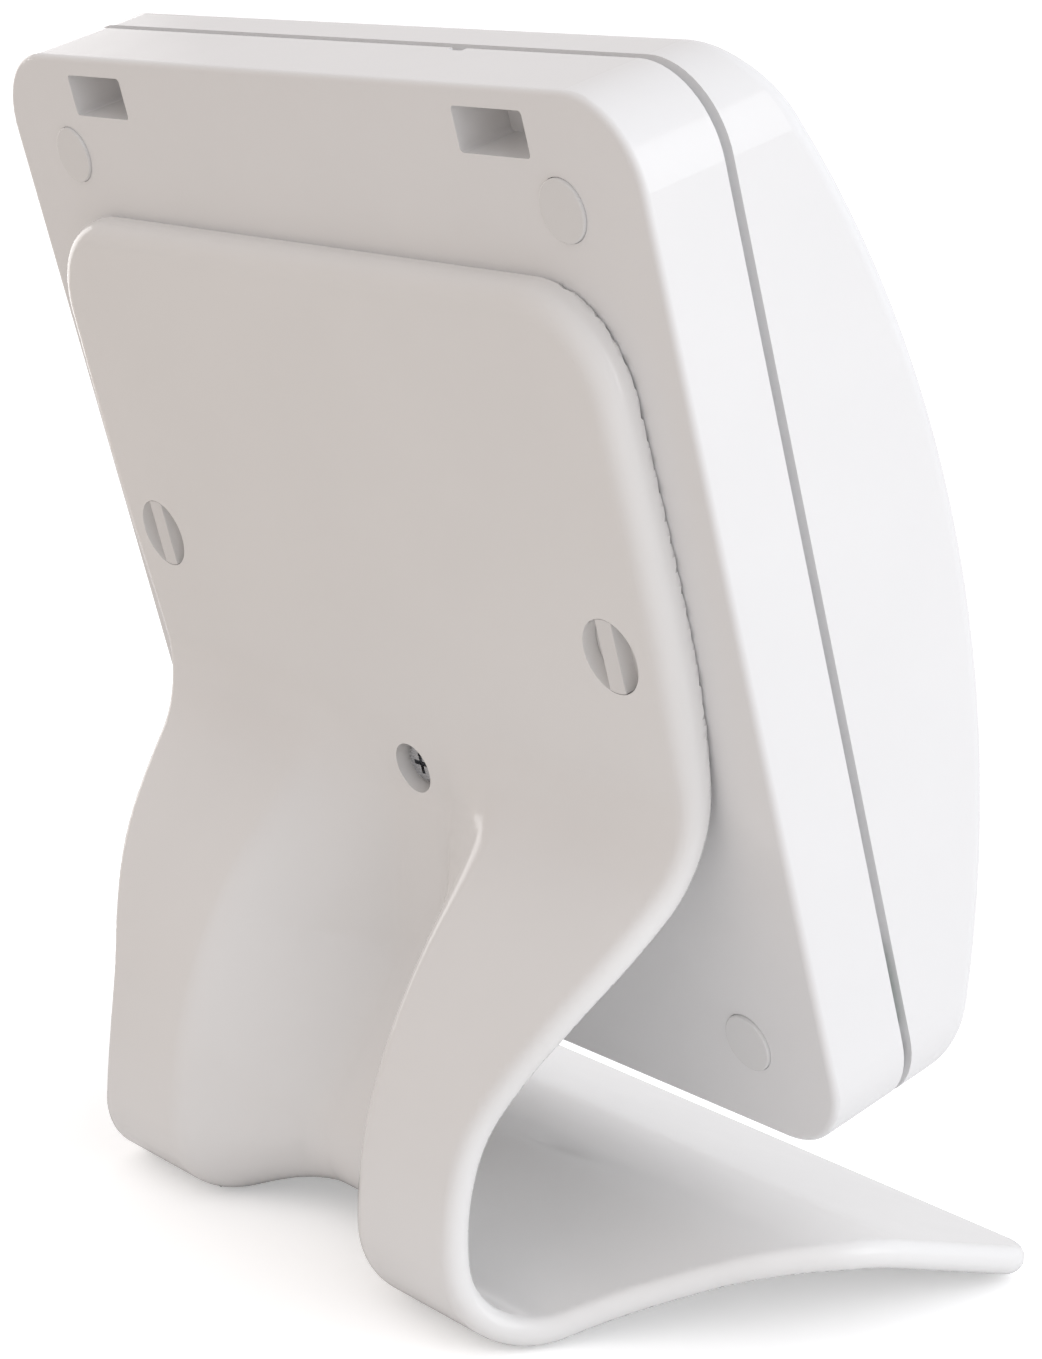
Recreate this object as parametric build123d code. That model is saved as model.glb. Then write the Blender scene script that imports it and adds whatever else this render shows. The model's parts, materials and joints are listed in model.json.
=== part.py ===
from build123d import *
import math
import os

# Square digital photo frame on a removable S-shaped stand. Sizes are in millimetres.
# Row frame: +Z up, the picture faces -Y, origin on the table under the middle of the object.
# The frame's own parts are drawn in a local frame on the centre of its back face:
# x to the right seen from behind, y up along the back, z out of the back.

# Driving dimensions
side = 140.0                # width and height of the square housing
lean = 16.5                 # degrees that the housing leans back
corner_radius = 11.5
rear_depth = 12.4           # back face to the shadow gap
gap_width = 1.4
dome_depth = 38.6           # back face to the middle of the bulged front
dome_radius = 146.0
plate_height = 5.0          # stand plate, above the back face
ribbon = 4.0                # thickness of the stand's legs and foot
pad_proud = 0.6             # rubber pads below the stand
back_centre_z = 92.7        # centre of the back face above the table
back_centre_y = 17.45

# Walls and fits
wall = 2.2
front_wall = 3.0
front_side_wall = 2.6
lip_inset = 2.4
lip_wall = 1.5
slack = 0.2

# Features on the back
slot_x, slot_y = 44.1, 64.5
slot_width, slot_height, slot_depth = 13.4, 5.8, 8.0
pocket_wall = 1.4
cam_slot = (13.0, 6.0, 2.9)  # width, height and corner radius of the hole for a stand lock
pry_notch = (23.0, 26.0)    # on the top face, in the edge of the shadow gap
lock_x, lock_radius = 51.0, 5.0
screw_x, screw_high, screw_low = 54.8, 55.7, -56.6
cover_radius = 4.0
stand_screw_y = -27.0

# Inside
board_front, board_back = -13.9, -12.3
board_screw_x, board_screw_y = 40.0, 34.0
panel_width, panel_height = 126.5, 100.0
panel_front, panel_back = -26.0, -20.5
window_width, window_height = 118.0, 90.0
picture_width, picture_height = 114.0, 86.0
jack_z = -7.8
jack_hole_radius = 3.9
card_opening = (12.0, 37.6, -11.7, -9.1)
button_z = -6.2
button_ys = {"power_button": -14.0, "menu_button": -26.0, "previous_button": -38.0, "next_button": -50.0}
bracket_xs = (-44.0, 44.0)
bracket_y = 53.0

half = side / 2
dome_centre = dome_radius - dome_depth
screw_spots = [(x, y) for y in (screw_high, screw_low) for x in (-screw_x, screw_x)]
board_spots = [(x, y) for y in (-board_screw_y, board_screw_y) for x in (-board_screw_x, board_screw_x)]
bracket_spots = [(x, y) for y in (-bracket_y, bracket_y) for x in bracket_xs]
sin_lean = math.sin(math.radians(lean))
cos_lean = math.cos(math.radians(lean))
back_face = Plane(
    origin=(0, back_centre_y, back_centre_z),
    x_dir=(-1, 0, 0),
    z_dir=(0, cos_lean, -sin_lean),
)
parts = {}


# ---------------------------------------------------------------- shared shapes
def block(x0, x1, y0, y1, z0, z1):
    """Box between two corners."""
    centre = Pos((x0 + x1) / 2, (y0 + y1) / 2, (z0 + z1) / 2)
    return centre * Box(x1 - x0, y1 - y0, z1 - z0)


def slab(width, height, radius, z0, z1, x=0.0, y=0.0):
    """Rounded rectangle in the local XY plane, from z0 to z1."""
    outline = Pos(x, y, z0) * RectangleRounded(width, height, radius)
    return extrude(outline, z1 - z0)


def rod(x, y, radius, z0, z1):
    """Round bar along the local Z axis."""
    return Pos(x, y, (z0 + z1) / 2) * Cylinder(radius, z1 - z0)


def frame_ring(width, height, radius, thickness, z0, z1):
    """Rounded rectangular ring, its thickness measured inwards."""
    outer = slab(width, height, radius, z0, z1)
    inner_radius = max(radius - thickness, 0.4)
    inner = slab(width - 2 * thickness, height - 2 * thickness, inner_radius, z0 - 1, z1 + 1)
    return outer - inner


def dome(radius):
    """Round bar across the frame whose far side is the bulged front."""
    return Pos(0, 0, dome_centre) * Cylinder(radius, 2 * side, rotation=(0, 90, 0))


def screw(x, y, head_z, tip_z, head_radius, shank_radius, head_height, upward=True):
    """Pan-head screw with a cross recess; upward means that the head looks along +z."""
    way = 1 if upward else -1
    head = rod(x, y, head_radius, *sorted((head_z, head_z + way * head_height)))
    head = fillet(head.faces().sort_by(Axis.Z)[-1 if upward else 0].edges(), head_height * 0.3)
    top = head_z + way * head_height
    bar = head_radius * 1.1
    recess = Pos(x, y, top) * (Box(bar, 0.7, head_height) + Box(0.7, bar, head_height))
    return head - recess + rod(x, y, shank_radius, *sorted((head_z, tip_z)))


def add_local(name, *solids):
    """Keep a sub-part drawn in the housing's local frame, turned into the row frame."""
    placed = [back_face.location * solid for shape in solids for solid in shape.solids()]
    parts[name] = placed[0] if len(placed) == 1 else Compound(children=placed)


def row_point(local_y, local_z):
    """Row-frame (Y, Z) of a point in the housing's middle plane."""
    return (
        back_centre_y + local_y * sin_lean + local_z * cos_lean,
        back_centre_z + local_y * cos_lean - local_z * sin_lean,
    )


# ---------------------------------------------------------------- housing
def rear_housing():
    body = slab(side, side, corner_radius, -rear_depth, 0)
    body = fillet(body.faces().sort_by(Axis.Z)[-1].edges(), 0.9)
    body -= slab(side - 2 * wall, side - 2 * wall, corner_radius - wall, -rear_depth - 1, -wall)
    inner = block(-half + wall, half - wall, -half + wall, half - wall, -rear_depth, -wall)
    for x, y in screw_spots:
        body += rod(x, y, 5.4, -rear_depth + 0.2, -wall)
        body -= rod(x, y, cover_radius + 0.06, -3.0, 1)
        body -= rod(x, y, 3.1, -9.4, 0)
        body -= rod(x, y, 1.7, -rear_depth - 1, 0)
    for x, y in board_spots:
        body += rod(x, y, 3.0, board_back, -wall)
        body -= rod(x, y, 1.25, -rear_depth - 1, -wall - 1.0)
    body += rod(0, stand_screw_y, 3.6, -10.0, -wall)
    body -= rod(0, stand_screw_y, 1.5, -9.0, 1)
    for sign in (-1, 1):
        outer_width, outer_height = slot_width + 2 * pocket_wall, slot_height + 2 * pocket_wall
        pocket = slab(outer_width, outer_height, 1.0, -slot_depth - pocket_wall, -wall, sign * slot_x, slot_y)
        body += pocket & inner
        body -= slab(slot_width, slot_height, 0.6, -slot_depth, 1, sign * slot_x, slot_y)
        body -= slab(*cam_slot, -wall - 1, 1, sign * lock_x, 0)
    body -= Pos(0, -half, jack_z) * Cylinder(jack_hole_radius, 3 * wall, rotation=(90, 0, 0))
    body -= block(-half - 1, -half + wall + 1, *card_opening)
    body -= block(*pry_notch, half - 0.9, half + 1, -rear_depth - 1, -rear_depth + 0.9)
    for name, y in button_ys.items():
        body -= button_shape(name, y, slack, -half - 2, -half + wall + 1)
    return body


def front_housing():
    shell = slab(side, side, corner_radius, -dome_depth - 5, -rear_depth - gap_width) & dome(dome_radius)
    shell = fillet(shell.edges().filter_by(lambda edge: edge.center().Z < -18), 3.0)
    cavity = slab(
        side - 2 * front_side_wall,
        side - 2 * front_side_wall,
        corner_radius - front_side_wall,
        -dome_depth,
        -rear_depth,
    )
    cavity &= dome(dome_radius - front_wall)
    shell -= cavity
    lip_side = side - 2 * lip_inset
    lip = frame_ring(lip_side, lip_side, corner_radius - lip_inset, lip_wall, -17.0, -rear_depth + 2.0)
    lip -= block(half - 6, half, -57.4, -45.4, -rear_depth - gap_width - 0.4, -9)
    lip -= block(half - 6, half, -62.8, -59.6, -rear_depth - gap_width - 0.4, -9)
    lip -= block(-half, -half + 6, -56, -8, -rear_depth, -9)
    lip -= block(-half, -half + 6, 11, 39, -rear_depth, -9)
    lip -= block(-9, 9, -half, -half + 6, -rear_depth - gap_width - 0.4, -9)
    shell += lip
    for x, y in screw_spots:
        shell += rod(x, y, 4.0, -35, -rear_depth) & dome(dome_radius - 1)
        shell -= rod(x, y, 1.5, -22.0, -rear_depth + 1)
    for x, y in bracket_spots:
        shell += rod(x, y, 2.6, -35, panel_back + 0.3) & dome(dome_radius - 1)
        shell -= rod(x, y, 1.0, -25.0, panel_back + 1)
    shell -= slab(window_width - 3.5, window_height - 3.5, 2.0, -dome_depth - 1, -20)
    seat = slab(window_width + 0.3, window_height + 0.3, 3.15, -dome_depth - 1, -20)
    shell -= seat - dome(dome_radius - 1.7)
    return shell


def display_window():
    pane = slab(window_width, window_height, 3.0, -dome_depth - 1, -20)
    return pane & dome(dome_radius - 0.05) - dome(dome_radius - 1.65)


def light_shroud():
    shroud = frame_ring(window_width + 2, window_height + 2, 3.0, 1.6, -dome_depth, panel_front - 0.9)
    flange = frame_ring(window_width + 6, window_height + 6, 4.0, 4.0, panel_front - 1.7, panel_front - 0.9)
    return (shroud + flange) & dome(dome_radius - front_wall - 0.1)


# ---------------------------------------------------------------- display module
def display_module():
    gasket = frame_ring(panel_width - 8, panel_height - 8, 2.0, 2.0, panel_front - 0.8, panel_front - 0.05)
    bezel = slab(panel_width, panel_height, 1.0, panel_front, panel_back - 0.5)
    bezel -= slab(panel_width - 1, panel_height - 1, 0.5, panel_front + 0.5, panel_back + 1)
    bezel -= slab(picture_width + 1, picture_height + 1, 0.5, panel_front - 1, panel_back)
    glass = slab(panel_width - 1.4, panel_height - 1.4, 0.4, panel_front + 0.55, panel_front + 1.95)
    guide = slab(panel_width - 3.5, panel_height - 5.5, 0.4, panel_front + 2.05, panel_front + 4.3, 0, 1.2)
    strip = block(-56, 56, -49.0, -46.4, panel_front + 2.1, panel_front + 4.2)
    tray = slab(panel_width - 1.4, panel_height - 1.4, 0.4, panel_front + 4.4, panel_back - 0.5)
    add_local("shroud_gasket", gasket)
    add_local("lcd_bezel", bezel)
    add_local("lcd_glass", glass)
    add_local("light_guide", guide)
    add_local("backlight_strip", strip)
    add_local("lcd_back_tray", tray)


def panel_bracket():
    z0, z1 = panel_back + 0.3, panel_back + 1.1
    rim = frame_ring(122, 100, 3.0, 9.0, z0, z1)
    bars = block(-54, 54, -4, 4, z0, z1)
    for x, y in bracket_spots:
        rim += slab(7, 12, 3.0, z0, z1, x, y - math.copysign(3, y))
    plate = rim + bars
    for x, y in bracket_spots:
        plate -= rod(x, y, 1.3, z0 - 1, z1 + 1)
    return plate


# ---------------------------------------------------------------- electronics
def main_board():
    board = slab(122, 88, 1.5, board_front, board_back, -3, -2)
    board += block(57, 67.4, -50, -46.2, board_front, board_back)
    board += block(61.5, 67.4, -57.0, -46.2, board_front, board_back)
    board += block(-8, 8, -66.0, -45, board_front, board_back)
    for x, y in board_spots:
        board -= rod(x, y, 1.4, board_front - 1, board_back + 1)
    return board


def chip_row(spots, width, height, depth):
    """Chips with a chamfered top on the rear side of the main board."""
    chips = []
    for x, y in spots:
        top = board_back + depth
        chip = block(x - width / 2, x + width / 2, y - height / 2, y + height / 2, board_back, top)
        chips.append(chamfer(chip.faces().sort_by(Axis.Z)[-1].edges(), 0.25))
    return chips


def electronics():
    add_local("main_board", main_board())
    add_local("processor", *chip_row([(14, 6)], 16, 16, 1.4))
    add_local("memory_chips", *chip_row([(-8, 12), (-8, -3)], 12, 9, 1.1))
    add_local("flash_chip", *chip_row([(14, 27)], 18, 12, 1.1))
    add_local("power_chip", *chip_row([(-14, -32)], 6, 6, 1.0))
    crystal = slab(4.6, 11, 2.2, board_back, board_back + 3.4, 30, 8)
    add_local("crystal", crystal)
    cans = [rod(x, -42, 3.1, board_back, board_back + 6.4) for x in (14, 22)]
    cans = [chamfer(can.edges().sort_by(Axis.Z)[-1], 0.4) for can in cans]
    add_local("capacitors", *cans)
    coils = [slab(7, 7, 1.6, board_back, board_back + 3.2, x, -36) for x in (-26, 5)]
    add_local("power_inductors", *coils)
    holder = rod(44, -16, 11.4, board_back, board_back + 3.6)
    holder -= rod(44, -16, 10.15, board_back + 0.6, board_back + 5)
    holder -= block(40, 48, -32, -24, board_back + 0.8, board_back + 5)
    cell = rod(44, -16, 10.0, board_back + 0.65, board_back + 3.85)
    add_local("cell_holder", holder)
    add_local("clock_cell", chamfer(cell.edges().sort_by(Axis.Z)[-1], 0.3))
    socket = block(-66.5, -43.6, 11.0, 38.6, board_back, board_back + 3.3)
    socket -= block(-67.5, -45.0, 12.3, 37.3, board_back + 0.5, board_back + 2.9)
    socket -= block(-58.0, -53.0, 20.0, 30.0, board_back + 2, board_back + 4)
    add_local("card_socket", socket)
    add_local("display_connector", block(26, 50, 38.0, 41.5, board_front - 2.2, board_front))
    add_local("button_connector", block(-50, -46, -37, -27, board_back, board_back + 2.0))
    cable_down = block(29, 47, 37.4, 37.8, -18.9, board_front - 0.6)
    cable_run = block(29, 47, 20.0, 37.8, -19.3, -18.9)
    add_local("display_cable", cable_down + cable_run)
    posts = [
        screw(x, y, board_front, -7.0, 2.4, 1.2, 1.5, upward=False)
        for x, y in board_spots
    ]
    add_local("board_screws", *posts)


def power_jack():
    body = block(-4.6, 4.6, -67.6, -54.0, board_back, board_back + 9.4)
    nose = Pos(0, -67.0, jack_z) * Cylinder(3.7, 4.4, rotation=(90, 0, 0))
    bore = Pos(0, -64.5, jack_z) * Cylinder(3.15, 11.0, rotation=(90, 0, 0))
    pin = Pos(0, -63.0, jack_z) * Cylinder(1.0, 8.0, rotation=(90, 0, 0))
    add_local("power_jack", body + nose - bore)
    add_local("jack_pin", pin)


# ---------------------------------------------------------------- buttons
def button_shape(name, y, grow, x0, x1):
    """Outline of a button swept along x, wider by grow all round."""
    round_cap = Circle(2.6 + grow)
    long_cap = SlotCenterToCenter(4.2, 2 * (1.9 + grow))
    section = round_cap if name == "power_button" else long_cap
    return extrude(Plane.YZ.offset(x0) * Pos(y, button_z) * section, x1 - x0)


def buttons():
    inside = -half + wall
    for name, y in button_ys.items():
        cap = button_shape(name, y, 0, -half - 0.9, inside + 0.3)
        cap = fillet(cap.faces().sort_by(Axis.X)[0].edges(), 0.4)
        flange = button_shape(name, y, 0.9, inside + 0.15, inside + 0.95)
        add_local(name, cap + flange)
    low, high = button_z - 2.6, button_z + 2.6
    switches = [block(-65.9, -63.1, y - 2.6, y + 2.6, low, high) for y in button_ys.values()]
    domes = []
    for body, y in zip(switches, button_ys.values()):
        plunger = Pos(-66.0, y, button_z) * Cylinder(1.1, 0.4, rotation=(0, 90, 0))
        domes.append(body + plunger)
    add_local("button_switches", *domes)
    board = block(-63.1, -62.1, -56, -8, -10.4, -2.9)
    add_local("button_board", board)
    tail = block(-62.1, -61.8, -36, -28, -11.8, -4.0) + block(-62.1, -50.0, -36, -28, -11.8, -11.5)
    add_local("button_cable", tail)


# ---------------------------------------------------------------- fasteners
def fasteners():
    add_local("case_screws", *[screw(x, y, -9.4, -21.5, 2.7, 1.5, 2.0) for x, y in screw_spots])
    covers = [rod(x, y, cover_radius, -3.0, 0.45) for x, y in screw_spots]
    add_local("screw_covers", *[fillet(cover.edges().sort_by(Axis.Z)[-1], 0.25) for cover in covers])
    bracket_top = panel_back + 1.1
    add_local("bracket_screws", *[screw(x, y, bracket_top, -24.5, 1.9, 1.0, 1.2) for x, y in bracket_spots])
    add_local("stand_screw", screw(0, stand_screw_y, 1.6, -8.5, 2.9, 1.5, 1.9))


# ---------------------------------------------------------------- stand
plate_half_width = 61.5
plate_top, plate_corner = 47.3, 14.0
waist = 42.2
foot_half_width = 70.0
foot_corner = 7.0
valley_floor = 4.0          # half width of the floor of the cable valley between the legs
valley_rim = 20.0           # half width of the valley at the legs' rear face
valley_sheet = 3.6          # a little thinner than the ribbon, so that it ends inside it
valley_samples = 24
leave_point = row_point(-26.5, plate_height - ribbon / 2)
ribbon_top = row_point(2.0, plate_height - ribbon / 2)
rear_y = leave_point[0] + 25.15
leg_knee = (rear_y, 34.3)
rear_split = (rear_y, 12.2)
heel = (rear_y, -1.65)
arch_top = (-2.25, 13.4)
foot_tip = (-37.95, ribbon / 2 + pad_proud)
knee_radii = [18.0, 62.0]
heel_radius, arch_radius = 9.5, 34.0
pad_boxes = [
    (side_sign * centre - 6, side_sign * centre + 6, y - 2.5, y + 2.5, top)
    for side_sign in (-1, 1)
    for centre, y, top in ((31.0, 28.3, 1.6), (52.0, -34.5, 1.9))
]
valley_start = row_point(-16.0, plate_height - ribbon / 2)
valley_end = (12.0, 8.065)
floor_leave = row_point(-31.0, plate_height - ribbon / 2)
floor_bends = [floor_leave, (11.5, 39.5), (26.0, 16.0), (26.0, 6.4), (16.4, 6.4)]
floor_radii = [14.0, 12.0, 12.0, 5.0, 10.0]


def in_side_view(outline):
    """Side-view outline (Y, Z) turned into the row's YZ plane."""
    return Plane.YZ * outline


def ribbon_solid(points, radii):
    """Strip of constant thickness along a rounded path, as wide as the object."""
    path = FilletPolyline(*points, radius=radii)
    strip = make_face(offset(path, ribbon / 2, side=Side.BOTH))
    return extrude(in_side_view(strip), side, both=True)


def waisted(edge_points):
    """Symmetric face whose edge runs through (half width, place) points."""
    right = Spline(*edge_points)
    left = Spline(*[(-x, y) for x, y in edge_points])
    top = Line(right @ 0, left @ 0)
    bottom = Line(right @ 1, left @ 1)
    return make_face([right, left, top, bottom])


def legs():
    strip = ribbon_solid([ribbon_top, leave_point, leg_knee, rear_split], knee_radii)
    outline = waisted([(61.5, 100), (61.3, 78), (58.6, 65), (51.0, 45), (43.6, 29), (waist, 14), (waist, 6)])
    return strip & extrude(Plane.XZ * outline, 100, both=True)


def foot():
    strip = ribbon_solid([rear_split, heel, arch_top, foot_tip], [heel_radius, arch_radius])
    outline = waisted(
        [(waist, 45), (waist, 38), (45.0, 29), (52.5, 18), (62.5, 5), (68.8, -7), (foot_half_width, -20),
         (foot_half_width, -45)]
    )
    plan = extrude(outline, 30)
    rounded_front = slab(2 * foot_half_width, 200, foot_corner, -5, 40, 0, 100 + foot_tip[0] - ribbon / 2)
    return strip & plan & rounded_front


def plate():
    outline = Pos(0, (plate_top - 22.0) / 2, 0) * Rectangle(2 * plate_half_width, plate_top + 22.0)
    body = extrude(outline, plate_height)
    body = fillet(body.edges().filter_by(Axis.Z).sort_by(Axis.Y)[-2:], plate_corner)
    rim = body.faces().sort_by(Axis.Z)[-1].edges()
    body = fillet(rim.sort_by(Axis.Y)[1:], 3.0)
    hollow = Pos(0, (plate_top - 2.4) / 2, 0) * Rectangle(2 * plate_half_width - 5.2, plate_top - 2.4)
    hollow = extrude(hollow, plate_height - 2.4)
    hollow = fillet(hollow.edges().filter_by(Axis.Z).sort_by(Axis.Y)[-2:], plate_corner - 2.5)
    body -= hollow
    return body


def ribbon_face(line, x):
    """Side-view strip of the valley's sheet along a line, drawn with smooth edges at one x."""
    rear, front = [], []
    for number in range(valley_samples + 1):
        place = line @ (number / valley_samples)
        way = line % (number / valley_samples)
        out = Vector(-way.Y, way.X) * (valley_sheet / 2)
        rear.append(place + out)
        front.append(place - out)
    edges = [Spline(*rear), Line(rear[-1], front[-1]), Spline(*front), Line(front[0], rear[0])]
    return Plane.YZ.offset(x) * make_face(edges)


def valley():
    """Middle of the ribbon: sinks between the legs to a floor that stays nearer the housing."""
    floor_line = FilletPolyline(valley_start, *floor_bends, valley_end, radius=floor_radii)
    leg_line = FilletPolyline(
        valley_start, leave_point, leg_knee, heel, valley_end, radius=[*knee_radii, heel_radius]
    )
    middle = extrude(ribbon_face(floor_line, -valley_floor), 2 * valley_floor, dir=(1, 0, 0))
    for sign in (-1, 1):
        floor_edge = ribbon_face(floor_line, sign * valley_floor).face()
        leg_edge = ribbon_face(leg_line, sign * valley_rim).face()
        middle += loft([floor_edge, leg_edge])
    return middle


def stand():
    between_legs = block(-valley_rim, valley_rim, 13.0, 60.0, -5.0, valley_start[1] - 1.0)
    body = (legs() + foot()) - between_legs
    body += back_face.location * plate() + valley()
    to_row = back_face.location
    for x in (-lock_x, lock_x):
        body += to_row * rod(x, 0, 9.0, 0.1, plate_height - 0.5)
        body -= to_row * rod(x, 0, lock_radius + 0.09, -1, 8)
        body -= to_row * rod(x, 0, 6.9, -1, 2.6)
    body += to_row * rod(0, stand_screw_y, 6.2, 0.1, plate_height)
    body -= to_row * rod(0, stand_screw_y, 3.7, 1.6, 12)
    body -= to_row * rod(0, stand_screw_y, 1.7, -1, 3)
    for x0, x1, y0, y1, top in pad_boxes:
        body -= block(x0, x1, y0, y1, -1, top)
    return body


def foot_pads():
    pads = [block(x0, x1, y0, y1, 0, top) for x0, x1, y0, y1, top in pad_boxes]
    return [fillet(pad.faces().sort_by(Axis.Z)[0].edges(), 0.25) for pad in pads]


def stand_lock(x):
    """Quarter-turn lock: grip bar flush with the plate, and a cam behind the housing's slot."""
    knob = rod(x, 0, 6.6, 0.25, 2.0) + rod(x, 0, lock_radius, 2.0, 2.8)
    grip = block(x - 1.5, x + 1.5, -6, 6, 2.8, plate_height - 0.03) & rod(x, 0, lock_radius, 0, 6)
    shaft = rod(x, 0, 2.7, -2.6, 0.3)
    cam = block(x - 2.5, x + 2.5, -7, 7, -4.6, -2.5) & rod(x, 0, 6.0, -5, 0)
    return knob + grip + shaft + cam


# ---------------------------------------------------------------- build
add_local("rear_housing", rear_housing())
add_local("front_housing", front_housing())
add_local("display_window", display_window())
add_local("light_shroud", light_shroud())
display_module()
add_local("panel_bracket", panel_bracket())
electronics()
power_jack()
buttons()
fasteners()
parts["stand"] = stand()
parts["foot_pads"] = Compound(children=foot_pads())
add_local("stand_lock_left", stand_lock(-lock_x))
add_local("stand_lock_right", stand_lock(lock_x))
add_local("lock_washers", *[rod(x, 0, 6.7, 2.1, 2.55) - rod(x, 0, 5.2, 2, 3) for x in (-lock_x, lock_x)])

os.makedirs("parts", exist_ok=True)
for name, shape in parts.items():
    export_step(shape, f"parts/{name}.step")
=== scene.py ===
import json
import math

import bmesh
import bpy
import numpy as np
from mathutils import Matrix, Vector


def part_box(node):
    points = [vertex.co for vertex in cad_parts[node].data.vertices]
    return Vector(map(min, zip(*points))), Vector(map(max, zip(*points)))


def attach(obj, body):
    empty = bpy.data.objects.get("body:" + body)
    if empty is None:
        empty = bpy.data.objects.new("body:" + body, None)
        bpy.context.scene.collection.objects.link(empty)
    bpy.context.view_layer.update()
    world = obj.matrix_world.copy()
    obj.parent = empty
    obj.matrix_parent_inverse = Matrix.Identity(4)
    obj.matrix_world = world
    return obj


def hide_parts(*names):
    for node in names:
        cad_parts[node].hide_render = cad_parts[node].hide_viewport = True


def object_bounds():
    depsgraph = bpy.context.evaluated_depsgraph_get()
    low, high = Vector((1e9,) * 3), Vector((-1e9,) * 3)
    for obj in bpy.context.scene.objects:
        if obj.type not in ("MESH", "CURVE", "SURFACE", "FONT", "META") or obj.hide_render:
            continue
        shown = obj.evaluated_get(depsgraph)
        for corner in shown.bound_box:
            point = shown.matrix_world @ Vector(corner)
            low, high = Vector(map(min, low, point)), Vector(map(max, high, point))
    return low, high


# Square photo frame on an S-shaped stand, seen from behind. The shells, screws and electronics are the CAD
# nodes with their own materials. The stand is a finer mesh of its own, grown from a distance field in mm.

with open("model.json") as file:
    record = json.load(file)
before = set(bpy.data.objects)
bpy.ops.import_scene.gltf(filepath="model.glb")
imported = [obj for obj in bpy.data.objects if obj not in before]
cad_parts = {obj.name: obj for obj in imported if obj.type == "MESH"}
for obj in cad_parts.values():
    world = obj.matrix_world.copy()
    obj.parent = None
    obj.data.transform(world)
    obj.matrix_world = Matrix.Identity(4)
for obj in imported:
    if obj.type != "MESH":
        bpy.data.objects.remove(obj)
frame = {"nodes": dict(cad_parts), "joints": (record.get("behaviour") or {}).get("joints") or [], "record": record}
cad_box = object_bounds()
nodes = frame["nodes"]
joints = {joint["name"]: joint for joint in frame["joints"]}

MM = 0.001
FAR = 1e9                   # farther than any distance in the scene
MAIN_BODY = "photo_frame"

# The back of the housing: its normal and its middle come from the two lock hinges
left_lock = Vector(joints["stand_lock_left_turn"]["pos_m"]) / MM
right_lock = Vector(joints["stand_lock_right_turn"]["pos_m"]) / MM
back_middle = (left_lock + right_lock) / 2
lock_x = (left_lock - right_lock).length / 2
lean = Vector(joints["stand_lock_left_turn"]["axis"]).normalized()
COS_LEAN, SIN_LEAN = lean.y, -lean.z


def row_point(up, out):
    """Row-frame (Y, Z) of a point in the middle plane: up along the back, out of the back."""
    return (
        back_middle.y + up * SIN_LEAN + out * COS_LEAN,
        back_middle.z + up * COS_LEAN - out * SIN_LEAN,
    )


# ---------------------------------------------------------------- stand dimensions, in millimetres
PLATE_TOP = 47.3            # the plate's upper edge, above the locks
PLATE_HEIGHT = 5.0          # the plate's rear face, out from the housing's back
PLATE_GAP = 0.12            # between the plate and the housing's back
PLATE_CORNER = 14.0
HALF_SHEET = 2.0            # half the thickness of the legs and foot
FOOT_CORNER = 7.0
WIDEST = 69.9               # largest half width, just inside the CAD box
VALLEY_FLAT = 4.0           # half width of the valley's floor
VALLEY_RIM = 24.0           # where the valley's wall rolls into the leg's rear face
VALLEY_ROUNDING = 0.22      # share of the wall's width that is rounded, at its foot and at its rim
REAR_ROUND_PLATE, REAR_ROUND_LEG = 3.3, 2.1
FRONT_ROUND_PLATE, FRONT_ROUND_LEG = 0.5, 1.8
LEG_START, LEG_END = 52, 76  # lengths along the side view between which the plate turns into the legs
LOCK_HOLE, LOCK_POCKET, POCKET_DEPTH = 5.09, 6.9, 2.6
SCREW_UP, SCREW_RECESS, SCREW_HOLE, SCREW_SEAT = -27.0, 3.7, 1.7, 1.6
BELOW, INTO_RECESS, ABOVE_PLATE, ABOVE_LEG = -1, 3, 8, 12  # heights at which cutters end, off the back
MESH_STEP, QUICK_STEP = 0.9, 1.6
stand_low, stand_high = (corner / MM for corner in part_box("stand"))
REAR_Y = stand_high.y - HALF_SHEET
TIP_Y = stand_low.y + HALF_SHEET
GROUND_GAP = 0.6            # the pads hold the stand this far above the table
LEG_BENDS = [
    (row_point(PLATE_TOP, PLATE_HEIGHT - HALF_SHEET), 0.0),
    (row_point(-26.5, PLATE_HEIGHT - HALF_SHEET), 18.0),
    ((REAR_Y, 34.3), 62.0),
    ((REAR_Y, -1.65), 9.5),
    ((-2.25, 13.4), 34.0),
    ((TIP_Y, HALF_SHEET + GROUND_GAP), 0.0),
]
# The floor of the valley: a narrower ribbon that stays nearer the housing
FLOOR_BENDS = [
    (row_point(-16, PLATE_HEIGHT - HALF_SHEET), 0.0),
    (row_point(-31, PLATE_HEIGHT - HALF_SHEET), 14.0),
    ((11.0, 37.0), 12.0),
    ((24.5, 15.0), 12.0),
    ((24.5, 6.4), 5.0),
    ((16.4, 6.4), 10.0),
    LEG_BENDS[-2],
    LEG_BENDS[-1],
]
# Half width of the stand at points along its side view: (Y, Z, half width)
HALF_WIDTHS = [
    (*row_point(40, 3), 61.5), (*row_point(-4, 3), 61.5), (16.0, 65.0, 58.8), (24.4, 51.0, 54.4),
    (29.3, 44.0, 50.8), (33.0, 37.0, 46.8), (35.9, 30.0, 43.4), (37.8, 21.6, 42.0),
    (38.0, 12.0, 42.4), (35.5, 4.9, 44.2), (28.2, 3.4, 47.3), (19.1, 6.5, 52.2),
    (10.9, 9.7, 58.0), (3.0, 11.4, 64.0), (-5.0, 11.3, 68.6), (-13.0, 9.6, 70.0),
    (-34.0, 3.6, 70.0),
]


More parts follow.
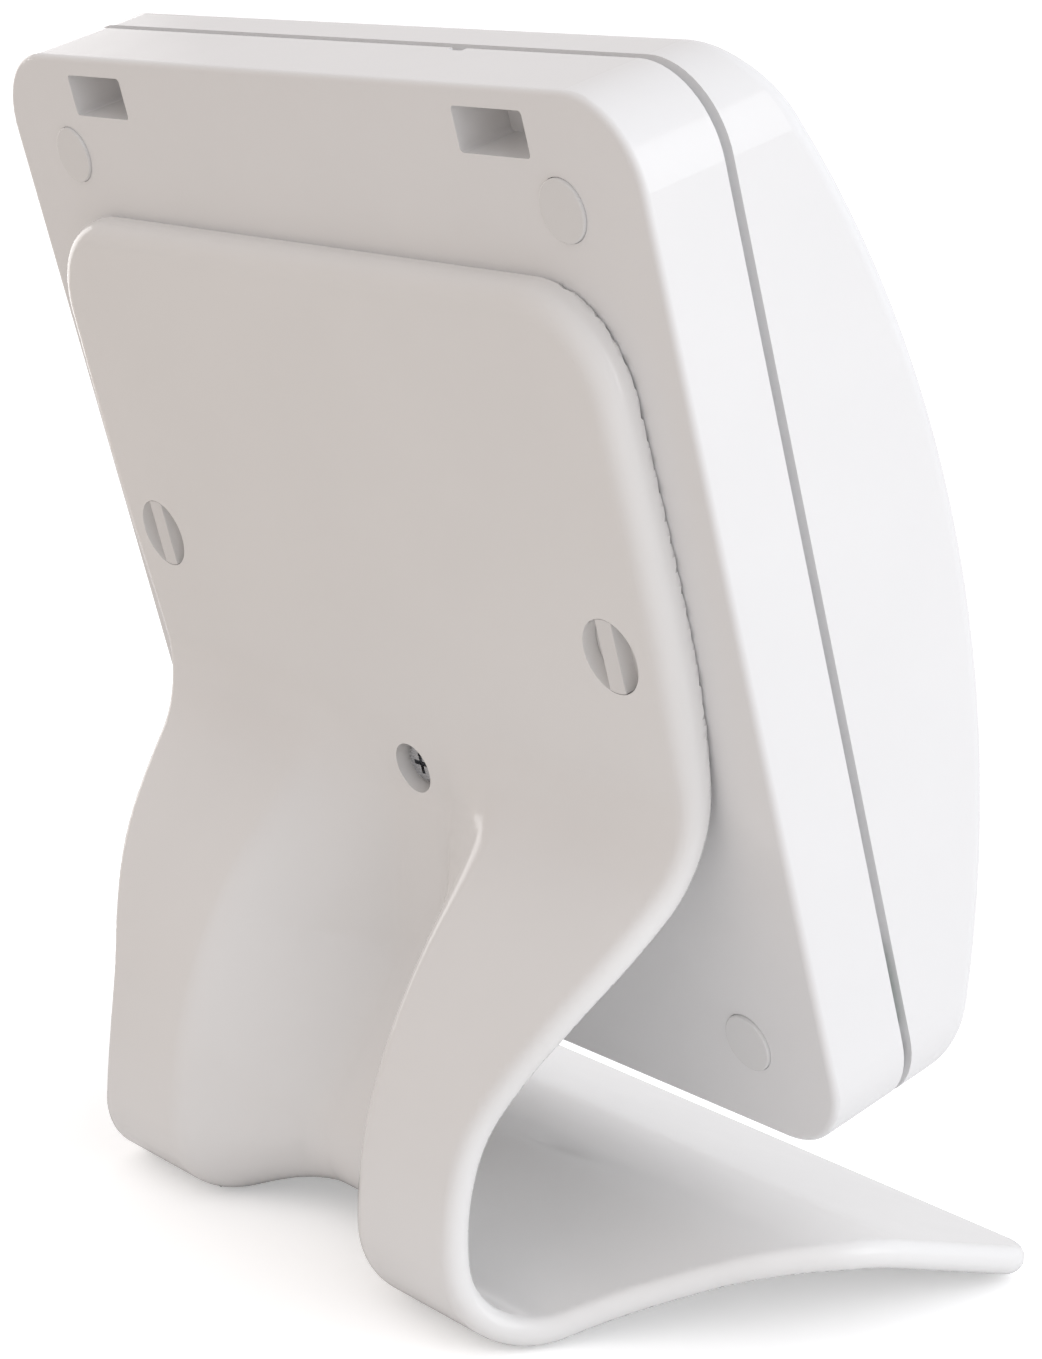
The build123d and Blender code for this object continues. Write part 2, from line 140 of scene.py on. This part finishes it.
# ---------------------------------------------------------------- distance fields
def round_cut(a, b, radius):
    """Inside both a and b, with their edge rounded."""
    corner = np.hypot(np.maximum(a + radius, 0), np.maximum(b + radius, 0))
    return np.minimum(np.maximum(a, b), -radius) + corner


def blend(start, end, share):
    return start + (end - start) * share


def fade(value, start, end):
    """0 before start, 1 after end, smooth between."""
    share = np.clip((value - start) / (end - start), 0, 1)
    return share * share * (3 - 2 * share)


def ramp(value, start, end, rounding):
    """Straight slope from 0 at start to 1 at end, rounded off at both ends."""
    share = np.clip((value - start) / (end - start), 0, 1)
    near = np.minimum(share, 1 - share)
    slope = 1 / (1 - rounding)
    curve, line = near * near / (2 * rounding) * slope, (near - rounding / 2) * slope
    rise = np.where(near < rounding, curve, line)
    return np.where(share < 0.5, rise, 1 - rise)


class SidePath:
    """Polyline with rounded corners in the side view. bends: ((Y, Z), radius) for each of its points."""

    def __init__(self, bends):
        points = [np.array(point, float) for point, _ in bends]
        self.lines, self.arcs = [], []
        start, along = points[0], 0.0
        radii = [radius for _, radius in bends[1:]]
        for before, corner, after, radius in zip(points, points[1:], points[2:], radii):
            way_in = (corner - before) / np.linalg.norm(corner - before)
            way_out = (after - corner) / np.linalg.norm(after - corner)
            turn = math.atan2(way_in[0] * way_out[1] - way_in[1] * way_out[0], way_in @ way_out)
            trim = radius * math.tan(abs(turn) / 2)
            arc_start = corner - way_in * trim
            length = np.linalg.norm(arc_start - start)
            self.lines.append((start, way_in, length, along))
            along += length
            side = math.copysign(1, turn)
            centre = arc_start + side * radius * np.array([-way_in[1], way_in[0]])
            self.arcs.append((centre, radius, turn, arc_start - centre, along))
            along += radius * abs(turn)
            start = corner + way_out * trim
        way = (points[-1] - start) / np.linalg.norm(points[-1] - start)
        self.lines.append((start, way, np.linalg.norm(points[-1] - start), along))
        self.length = along + self.lines[-1][2]

    def measure(self, y, z):
        """(s, v) of points: length along the path, and offset to its left."""
        best = np.full(np.broadcast(y, z).shape, FAR)
        s, v = np.zeros_like(best), np.zeros_like(best)
        for number, (start, way, length, along) in enumerate(self.lines):
            dy, dz = y - start[0], z - start[1]
            reach = dy * way[0] + dz * way[1]
            low = -FAR if number == 0 else 0.0
            high = FAR if number == len(self.lines) - 1 else length
            clipped = np.clip(reach, low, high)
            offset = dz * way[0] - dy * way[1]
            distance = np.hypot(reach - clipped, offset)
            nearer = distance < best
            best = np.where(nearer, distance, best)
            s = np.where(nearer, along + clipped, s)
            v = np.where(nearer, np.copysign(distance, offset), v)
        for centre, radius, turn, first, along in self.arcs:
            dy, dz = y - centre[0], z - centre[1]
            side = math.copysign(1, turn)
            across, ahead = first[0] * dz - first[1] * dy, first[0] * dy + first[1] * dz
            angle = np.arctan2(across, ahead) * side
            within = (angle >= 0) & (angle <= abs(turn))
            offset = side * (radius - np.hypot(dy, dz))
            distance = np.where(within, np.abs(offset), FAR)
            nearer = distance < best
            best = np.where(nearer, distance, best)
            s = np.where(nearer, along + radius * angle, s)
            v = np.where(nearer, offset, v)
        return s, v


def smooth_curve(xs, ys):
    """Smooth function through points, flat beyond both ends."""
    xs, ys = np.array(xs, float), np.array(ys, float)
    slopes = np.gradient(ys, xs)
    slopes[0] = slopes[-1] = 0.0

    def value(x):
        x = np.clip(x, xs[0], xs[-1])
        i = np.clip(np.searchsorted(xs, x) - 1, 0, len(xs) - 2)
        width = xs[i + 1] - xs[i]
        t = (x - xs[i]) / width
        keep = (1 + 2 * t) * (1 - t) ** 2 * ys[i] + t * t * (3 - 2 * t) * ys[i + 1]
        return keep + width * t * (1 - t) * ((1 - t) * slopes[i] - t * slopes[i + 1])

    return value


leg_path = SidePath(LEG_BENDS)
floor_path = SidePath(FLOOR_BENDS)
width_at = smooth_curve(
    [float(leg_path.measure(np.array(y), np.array(z))[0]) for y, z, _ in HALF_WIDTHS],
    [half for _, _, half in HALF_WIDTHS],
)


def stand_field(x, y, z):
    """Signed distance to the stand's surface, in millimetres of the row frame."""
    x = np.abs(x)
    s, leg_v = leg_path.measure(y, z)
    floor_v = floor_path.measure(y, z)[1]
    v = blend(floor_v, leg_v, ramp(x, VALLEY_FLAT, VALLEY_RIM, VALLEY_ROUNDING))
    on_leg = fade(s, LEG_START, LEG_END)
    outline = x - np.minimum(width_at(s), WIDEST)
    outline = round_cut(outline, -s, PLATE_CORNER)
    outline = round_cut(outline, s - leg_path.length - HALF_SHEET, FOOT_CORNER)
    rear_round = blend(REAR_ROUND_PLATE, REAR_ROUND_LEG, on_leg)
    front_round = blend(FRONT_ROUND_PLATE, FRONT_ROUND_LEG, on_leg)
    front_depth = blend(PLATE_HEIGHT - HALF_SHEET - PLATE_GAP, HALF_SHEET, on_leg)
    rear_face = round_cut(outline, v - HALF_SHEET, rear_round)
    front_face = round_cut(outline, -v - front_depth, front_round)
    return np.maximum(rear_face, front_face)


def gradient(field, points, reach=0.02):
    """Direction in which a field grows, one unit vector for each point, and its slope."""
    slopes = np.empty_like(points)
    for axis in range(3):
        ahead, behind = points.copy(), points.copy()
        ahead[:, axis] += reach
        behind[:, axis] -= reach
        slopes[:, axis] = (field(*ahead.T) - field(*behind.T)) / (2 * reach)
    size = np.maximum(np.linalg.norm(slopes, axis=1), 0.2)
    return slopes / size[:, None], size


def settle(field, points, step, rounds):
    """Moves points onto the zero surface of a field."""
    for _ in range(rounds):
        way, slope = gradient(field, points)
        move = np.clip(field(*points.T) / slope, -step, step)
        points = points - way * move[:, None]
    return points


def surface_net(field, low, high, step):
    """Quads over the zero surface of a field, with one point in each grid cell that it crosses."""
    axes = [np.arange(a, b + step, step) for a, b in zip(low, high)]
    inside = field(*np.meshgrid(*axes, indexing="ij", sparse=True)) < 0
    count = sum(
        inside[i:i - 1 or None, j:j - 1 or None, k:k - 1 or None].astype(np.int8)
        for i in (0, 1) for j in (0, 1) for k in (0, 1)
    )
    mixed = (count > 0) & (count < 8)
    cells = np.argwhere(mixed)
    number = np.full(mixed.shape, -1)
    number[tuple(cells.T)] = np.arange(len(cells))
    points = np.array([axis[0] for axis in axes]) + (cells + 0.5) * step
    quads = []
    for axis in range(3):
        one, two = (axis + 1) % 3, (axis + 2) % 3
        near = np.take(inside, range(inside.shape[axis] - 1), axis)
        far = np.take(inside, range(1, inside.shape[axis]), axis)
        edges = np.argwhere(near != far)
        edges = edges[(edges[:, one] > 0) & (edges[:, two] > 0)]
        ring = []
        for back_one, back_two in ((1, 1), (0, 1), (0, 0), (1, 0)):
            cell = edges.copy()
            cell[:, one] -= back_one
            cell[:, two] -= back_two
            ring.append(number[tuple(cell.T)])
        quad = np.stack(ring, axis=1)
        outward = near[tuple(edges.T)]
        quads.append(np.where(outward[:, None], quad, quad[:, ::-1]))
    return points, np.concatenate(quads)


def relax(field, points, quads, step, rounds):
    """Evens out the quads: each point moves towards its neighbours and back onto the surface."""
    pairs = np.concatenate([quads[:, [i, (i + 1) % 4]] for i in range(4)])
    for _ in range(rounds):
        total, count = np.zeros_like(points), np.zeros(len(points))
        np.add.at(total, pairs[:, 0], points[pairs[:, 1]])
        np.add.at(count, pairs[:, 0], 1)
        np.add.at(total, pairs[:, 1], points[pairs[:, 0]])
        np.add.at(count, pairs[:, 1], 1)
        points = settle(field, (points + total / count[:, None]) / 2, step, 2)
    return points


# ---------------------------------------------------------------- mesh helpers
def new_object(name, data):
    piece = bpy.data.objects.new(name, data)
    bpy.context.scene.collection.objects.link(piece)
    return piece


def back_matrix():
    """From the housing's own millimetres (right seen from behind, up, out of the back) to the row frame."""
    right, out = Vector((-1, 0, 0)), lean
    up = out.cross(right)
    turn = Matrix((right, up, out)).transposed().to_4x4()
    return Matrix.Scale(MM, 4) @ Matrix.Translation(back_middle) @ turn


def round_cutter(name, x, up, radius, low, high):
    """Round bar for cutting the stand, in the housing's own millimetres."""
    body = bmesh.new()
    place = Matrix.Translation((x, up, (low + high) / 2))
    bmesh.ops.create_cone(
        body, cap_ends=True, segments=96, radius1=radius, radius2=radius, depth=high - low,
        matrix=place,
    )
    bmesh.ops.transform(body, matrix=back_matrix(), verts=body.verts)
    mesh = bpy.data.meshes.new(name)
    body.to_mesh(mesh)
    body.free()
    return new_object(name, mesh)


def cut(piece, cutters):
    """Cuts each cutter out of a piece and removes the cutters."""
    for cutter in cutters:
        step = piece.modifiers.new("cut", "BOOLEAN")
        step.operation, step.solver, step.object = "DIFFERENCE", "EXACT", cutter
    bpy.context.view_layer.update()
    depsgraph = bpy.context.evaluated_depsgraph_get()
    cut_mesh = bpy.data.meshes.new_from_object(piece.evaluated_get(depsgraph))
    piece.modifiers.clear()
    piece.data = cut_mesh
    for cutter in cutters:
        bpy.data.objects.remove(cutter)


def values(items, name, width, kind):
    """One property of all vertices, loops or faces of a mesh, as an array."""
    found = np.empty(len(items) * width, kind)
    items.foreach_get(name, found)
    return found.reshape(-1, width) if width > 1 else found


def field_normals(mesh, field, near=0.02, alike=0.8):
    """Shades a mesh by its field's own slope, and by its faces where a cutter made them."""
    points = values(mesh.vertices, "co", 3, float) / MM
    slope = gradient(field, points)[0]
    on_surface = np.abs(field(*points.T)) < near
    loops = values(mesh.loops, "vertex_index", 1, int)
    sizes = values(mesh.polygons, "loop_total", 1, int)
    face_normals = np.repeat(values(mesh.polygons, "normal", 3, float), sizes, axis=0)
    agree = (slope[loops] * face_normals).sum(axis=1) > alike
    chosen = np.where((agree & on_surface[loops])[:, None], slope[loops], face_normals)
    mesh.shade_smooth()
    mesh.normals_split_custom_set(chosen.tolist())


def make_stand(step, margin=2.0):
    low = [c - margin for c in stand_low]
    high = [c + margin for c in stand_high]
    points, quads = surface_net(stand_field, low, high, step)
    points = settle(stand_field, points, step, 5)
    points = relax(stand_field, points, quads, step, 3)
    points = settle(stand_field, points, step, 2)
    mesh = bpy.data.meshes.new("stand_shell")
    mesh.from_pydata((points * MM).tolist(), [], quads.tolist())
    mesh.validate()
    stand = new_object("stand_shell", mesh)
    cutters = []
    for side in (-lock_x, lock_x):
        cutters.append(round_cutter("lock_hole", side, 0, LOCK_HOLE, BELOW, ABOVE_PLATE))
        cutters.append(round_cutter("lock_pocket", side, 0, LOCK_POCKET, BELOW, POCKET_DEPTH))
    cutters.append(round_cutter("screw_recess", 0, SCREW_UP, SCREW_RECESS, SCREW_SEAT, ABOVE_LEG))
    cutters.append(round_cutter("screw_hole", 0, SCREW_UP, SCREW_HOLE, BELOW, INTO_RECESS))
    cut(stand, cutters)
    field_normals(stand.data, stand_field)
    return stand


# ---------------------------------------------------------------- materials
def shader_material(name):
    material = bpy.data.materials.new(name)
    material.use_nodes = True
    return material, material.node_tree, material.node_tree.nodes["Principled BSDF"]


def noise(tree, scale, detail=3.0):
    texture = tree.nodes.new("ShaderNodeTexNoise")
    texture.inputs["Scale"].default_value = scale
    texture.inputs["Detail"].default_value = detail
    tree.links.new(coordinates(tree, "Object"), texture.inputs["Vector"])
    return texture.outputs["Fac"]


def spread(tree, source, low, high, from_low=0.3, from_high=0.7):
    """Maps a value, by default a noise, between two others."""
    node = tree.nodes.new("ShaderNodeMapRange")
    node.inputs["From Min"].default_value = from_low
    node.inputs["From Max"].default_value = from_high
    node.inputs["To Min"].default_value = low
    node.inputs["To Max"].default_value = high
    tree.links.new(source, node.inputs["Value"])
    return node.outputs["Result"]


def two_tone(tree, source, dark, light, start=0.35, end=0.65):
    tones = tree.nodes.new("ShaderNodeValToRGB")
    for stop, place, colour in zip(tones.color_ramp.elements, (start, end), (dark, light)):
        stop.position, stop.color = place, (*colour, 1)
    tree.links.new(source, tones.inputs["Fac"])
    return tones.outputs["Color"]


def facing(tree, source, direction):
    """How far a vector goes in a direction."""
    node = tree.nodes.new("ShaderNodeVectorMath")
    node.operation = "DOT_PRODUCT"
    node.inputs[1].default_value = direction
    tree.links.new(source, node.inputs[0])
    return node.outputs["Value"]


def coordinates(tree, kind):
    return tree.nodes.new("ShaderNodeTexCoord").outputs[kind]


def bump(tree, source, strength, distance):
    node = tree.nodes.new("ShaderNodeBump")
    node.inputs["Strength"].default_value = strength
    node.inputs["Distance"].default_value = distance
    tree.links.new(source, node.inputs["Height"])
    return node.outputs["Normal"]


def moulded(name, colour, rough, grain=0.00001, grain_scale=2200.0):
    """Moulded plastic: faint clouding, uneven polish and a fine skin."""
    material, tree, shader = shader_material(name)
    dark = [c * 0.985 for c in colour]
    polish = spread(tree, noise(tree, 70), rough * 0.85, rough * 1.15)
    tree.links.new(two_tone(tree, noise(tree, 35), dark, colour), shader.inputs["Base Color"])
    tree.links.new(polish, shader.inputs["Roughness"])
    tree.links.new(bump(tree, noise(tree, grain_scale), 0.25, grain), shader.inputs["Normal"])
    shader.inputs["IOR"].default_value = 1.5
    return material


def metal(name, colour, rough, stretch=(1, 1, 12)):
    """Rolled or turned metal with drawn-out scratches."""
    material, tree, shader = shader_material(name)
    mapping = tree.nodes.new("ShaderNodeMapping")
    mapping.inputs["Scale"].default_value = stretch
    texture = tree.nodes.new("ShaderNodeTexNoise")
    texture.inputs["Scale"].default_value = 700
    tree.links.new(coordinates(tree, "Object"), mapping.inputs["Vector"])
    tree.links.new(mapping.outputs["Vector"], texture.inputs["Vector"])
    scratches = texture.outputs["Fac"]
    dark = [c * 0.85 for c in colour]
    polish = spread(tree, scratches, rough * 0.7, rough * 1.3)
    tree.links.new(two_tone(tree, scratches, dark, colour), shader.inputs["Base Color"])
    tree.links.new(polish, shader.inputs["Roughness"])
    shader.inputs["Metallic"].default_value = 1.0
    return material


MATERIALS = {
    "housing_white": moulded("housing_white", (0.85, 0.85, 0.855), 0.16),
    "stand_white": moulded("stand_white", (0.86, 0.855, 0.85), 0.14),
    "cover_white": moulded("cover_white", (0.80, 0.80, 0.80), 0.22),
    "lock_white": moulded("lock_white", (0.78, 0.775, 0.77), 0.2),
    "button_white": moulded("button_white", (0.82, 0.82, 0.82), 0.18),
    "window_smoked": moulded("window_smoked", (0.012, 0.012, 0.014), 0.04),
    "panel_black": moulded("panel_black", (0.008, 0.008, 0.01), 0.12),
    "guide_milky": moulded("guide_milky", (0.78, 0.80, 0.82), 0.25),
    "tray_white": moulded("tray_white", (0.72, 0.72, 0.72), 0.45),
    "shroud_black": moulded("shroud_black", (0.02, 0.02, 0.02), 0.6, 0.00003),
    "foam_grey": moulded("foam_grey", (0.06, 0.06, 0.065), 0.95, 0.0002, 1500),
    "rubber_grey": moulded("rubber_grey", (0.42, 0.42, 0.43), 0.75, 0.00005),
    "steel_sheet": metal("steel_sheet", (0.60, 0.61, 0.63), 0.32),
    "steel_screw": metal("steel_screw", (0.52, 0.53, 0.55), 0.28),
    "board_green": moulded("board_green", (0.02, 0.16, 0.07), 0.35, 0.00003, 900),
    "chip_black": moulded("chip_black", (0.018, 0.018, 0.02), 0.55, 0.00003),
    "connector_ivory": moulded("connector_ivory", (0.68, 0.64, 0.54), 0.4),
    "ferrite_grey": moulded("ferrite_grey", (0.07, 0.07, 0.075), 0.7, 0.00006),
    "can_aluminium": metal("can_aluminium", (0.78, 0.79, 0.81), 0.25),
    "brass_pin": metal("brass_pin", (0.75, 0.58, 0.28), 0.22),
    "flex_amber": moulded("flex_amber", (0.50, 0.24, 0.05), 0.3),
}


def dress(piece, slot):
    piece.data.materials.clear()
    piece.data.materials.append(MATERIALS[slot])


slot_of = {part["node"]: part["material_slot"] for part in frame["record"]["subparts"]}
for node_name, node in nodes.items():
    dress(node, slot_of[node_name])

stand_shell = make_stand(MESH_STEP)
dress(stand_shell, slot_of["stand"])
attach(stand_shell, MAIN_BODY)
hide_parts("stand")


# ---------------------------------------------------------------- floor, light and camera
FLOOR_HALF = 12.0
FLOOR_GLOW = 0.35
FLOOR_SEEN = (0.94, 0.94, 0.94), (0.96, 0.96, 0.96)
# What the floor gives the object: white paper in front of it, and behind it a painted shade, a darker warm grey
# that dims and warms the light on the object's back
FLOOR_FRONT, FLOOR_REAR_PAINTED_SHADE = (0.92, 0.92, 0.92), (0.68, 0.63, 0.58)
FLOOR_TURN = (0.35, 0.94, 0)
FLOOR_TURN_START, FLOOR_TURN_END = -0.05, 0.25
# The room: brighter from the object's right and front, slightly warm from behind
ROOM_AXIS = Vector((-0.68, -0.66, 0.3)).normalized()
ROOM_REAR, ROOM_FRONT = (0.60, 0.515, 0.455), (1.0, 1.03, 1.08)
KEY_PLACE, KEY_SIZE, KEY_POWER = (-1.2, -0.45, 0.55), 1.0, 4.1
LOW_PLACE, LOW_SIZE, LOW_POWER = (0.55, -0.05, 0.14), 0.35, 0.5
LOW_TARGET = (0, 0, 0.03)
# The photo's camera, fitted to the outline of the square housing
CAMERA_PLACE = (-0.3468, 0.2692, 0.1784)
CAMERA_AHEAD = (0.7648, -0.6028, -0.2275)
CAMERA_RIGHT = (-0.6178, -0.7864, 0.0067)
CAMERA_LENS, CAMERA_SENSOR = 85.9, 36.0


def make_floor():
    """White paper, bright to the camera; to the object it is white in front and a painted shade behind, a darker
    warm grey that dims the light on the object's back.
    """
    material, tree, shader = shader_material("floor_paper")
    camera_ray = tree.nodes.new("ShaderNodeLightPath").outputs["Is Camera Ray"]
    paper = tree.nodes.new("ShaderNodeMix")
    paper.data_type = "RGBA"
    along = facing(tree, coordinates(tree, "Object"), FLOOR_TURN)
    reach = spread(tree, along, 0.0, 1.0, FLOOR_TURN_START, FLOOR_TURN_END)
    tree.links.new(camera_ray, paper.inputs["Factor"])
    # Painted shade: rays from the object see the floor turn from white to a darker warm grey behind the object
    tree.links.new(two_tone(tree, reach, FLOOR_FRONT, FLOOR_REAR_PAINTED_SHADE), paper.inputs["A"])
    tree.links.new(two_tone(tree, noise(tree, 3), *FLOOR_SEEN), paper.inputs["B"])
    tree.links.new(paper.outputs["Result"], shader.inputs["Base Color"])
    shader.inputs["Roughness"].default_value = 0.9
    shader.inputs["Specular IOR Level"].default_value = 0.1
    shader.inputs["Emission Color"].default_value = (1, 1, 1, 1)
    glow = tree.nodes.new("ShaderNodeMath")
    glow.operation = "MULTIPLY"
    glow.inputs[1].default_value = FLOOR_GLOW
    tree.links.new(camera_ray, glow.inputs[0])
    tree.links.new(glow.outputs["Value"], shader.inputs["Emission Strength"])
    corners = [(x * FLOOR_HALF, y * FLOOR_HALF, 0) for x, y in ((-1, -1), (1, -1), (1, 1), (-1, 1))]
    mesh = bpy.data.meshes.new("floor")
    mesh.from_pydata(corners, [], [(0, 1, 2, 3)])
    mesh.materials.append(material)
    new_object("floor", mesh)


def make_world():
    """Soft studio for the object, plain white to the camera."""
    world = bpy.data.worlds.new("studio")
    bpy.context.scene.world = world
    world.use_nodes = True
    tree = world.node_tree
    room = tree.nodes["Background"]
    seen = tree.nodes.new("ShaderNodeBackground")
    seen.inputs["Color"].default_value = (1, 1, 1, 1)
    turned = facing(tree, coordinates(tree, "Generated"), ROOM_AXIS)
    share = spread(tree, turned, 0.0, 1.0, -1.0, 1.0)
    tree.links.new(two_tone(tree, share, ROOM_REAR, ROOM_FRONT, 0.0, 1.0), room.inputs["Color"])
    mix = tree.nodes.new("ShaderNodeMixShader")
    camera_ray = tree.nodes.new("ShaderNodeLightPath").outputs["Is Camera Ray"]
    tree.links.new(camera_ray, mix.inputs["Fac"])
    tree.links.new(room.outputs["Background"], mix.inputs[1])
    tree.links.new(seen.outputs["Background"], mix.inputs[2])
    tree.links.new(mix.outputs["Shader"], tree.nodes["World Output"].inputs["Surface"])
    for background in (room, seen):
        background.inputs["Strength"].default_value = 1.0


def soft_light(name, place, target, size, power):
    data = bpy.data.lights.new(name, "AREA")
    data.shape, data.size, data.energy = "SQUARE", size, power
    light = new_object(name, data)
    light.location = place
    light.rotation_euler = (Vector(target) - Vector(place)).to_track_quat("-Z", "Y").to_euler()


def make_camera():
    data = bpy.data.cameras.new("camera")
    data.sensor_width, data.lens = CAMERA_SENSOR, CAMERA_LENS
    data.clip_start, data.clip_end = 0.01, 100.0
    camera = new_object("camera", data)
    camera.location = CAMERA_PLACE
    ahead = Vector(CAMERA_AHEAD).normalized()
    right = Vector(CAMERA_RIGHT)
    right = (right - ahead * right.dot(ahead)).normalized()
    up = right.cross(ahead)
    camera.rotation_mode = "QUATERNION"
    camera.rotation_quaternion = Matrix((right, up, -ahead)).transposed().to_quaternion()
    bpy.context.scene.camera = camera


make_floor()
make_world()
soft_light("key", KEY_PLACE, (cad_box[0] + cad_box[1]) / 2, KEY_SIZE, KEY_POWER)
soft_light("left_low", LOW_PLACE, LOW_TARGET, LOW_SIZE, LOW_POWER)
make_camera()
bpy.context.scene.view_settings.view_transform = "Standard"
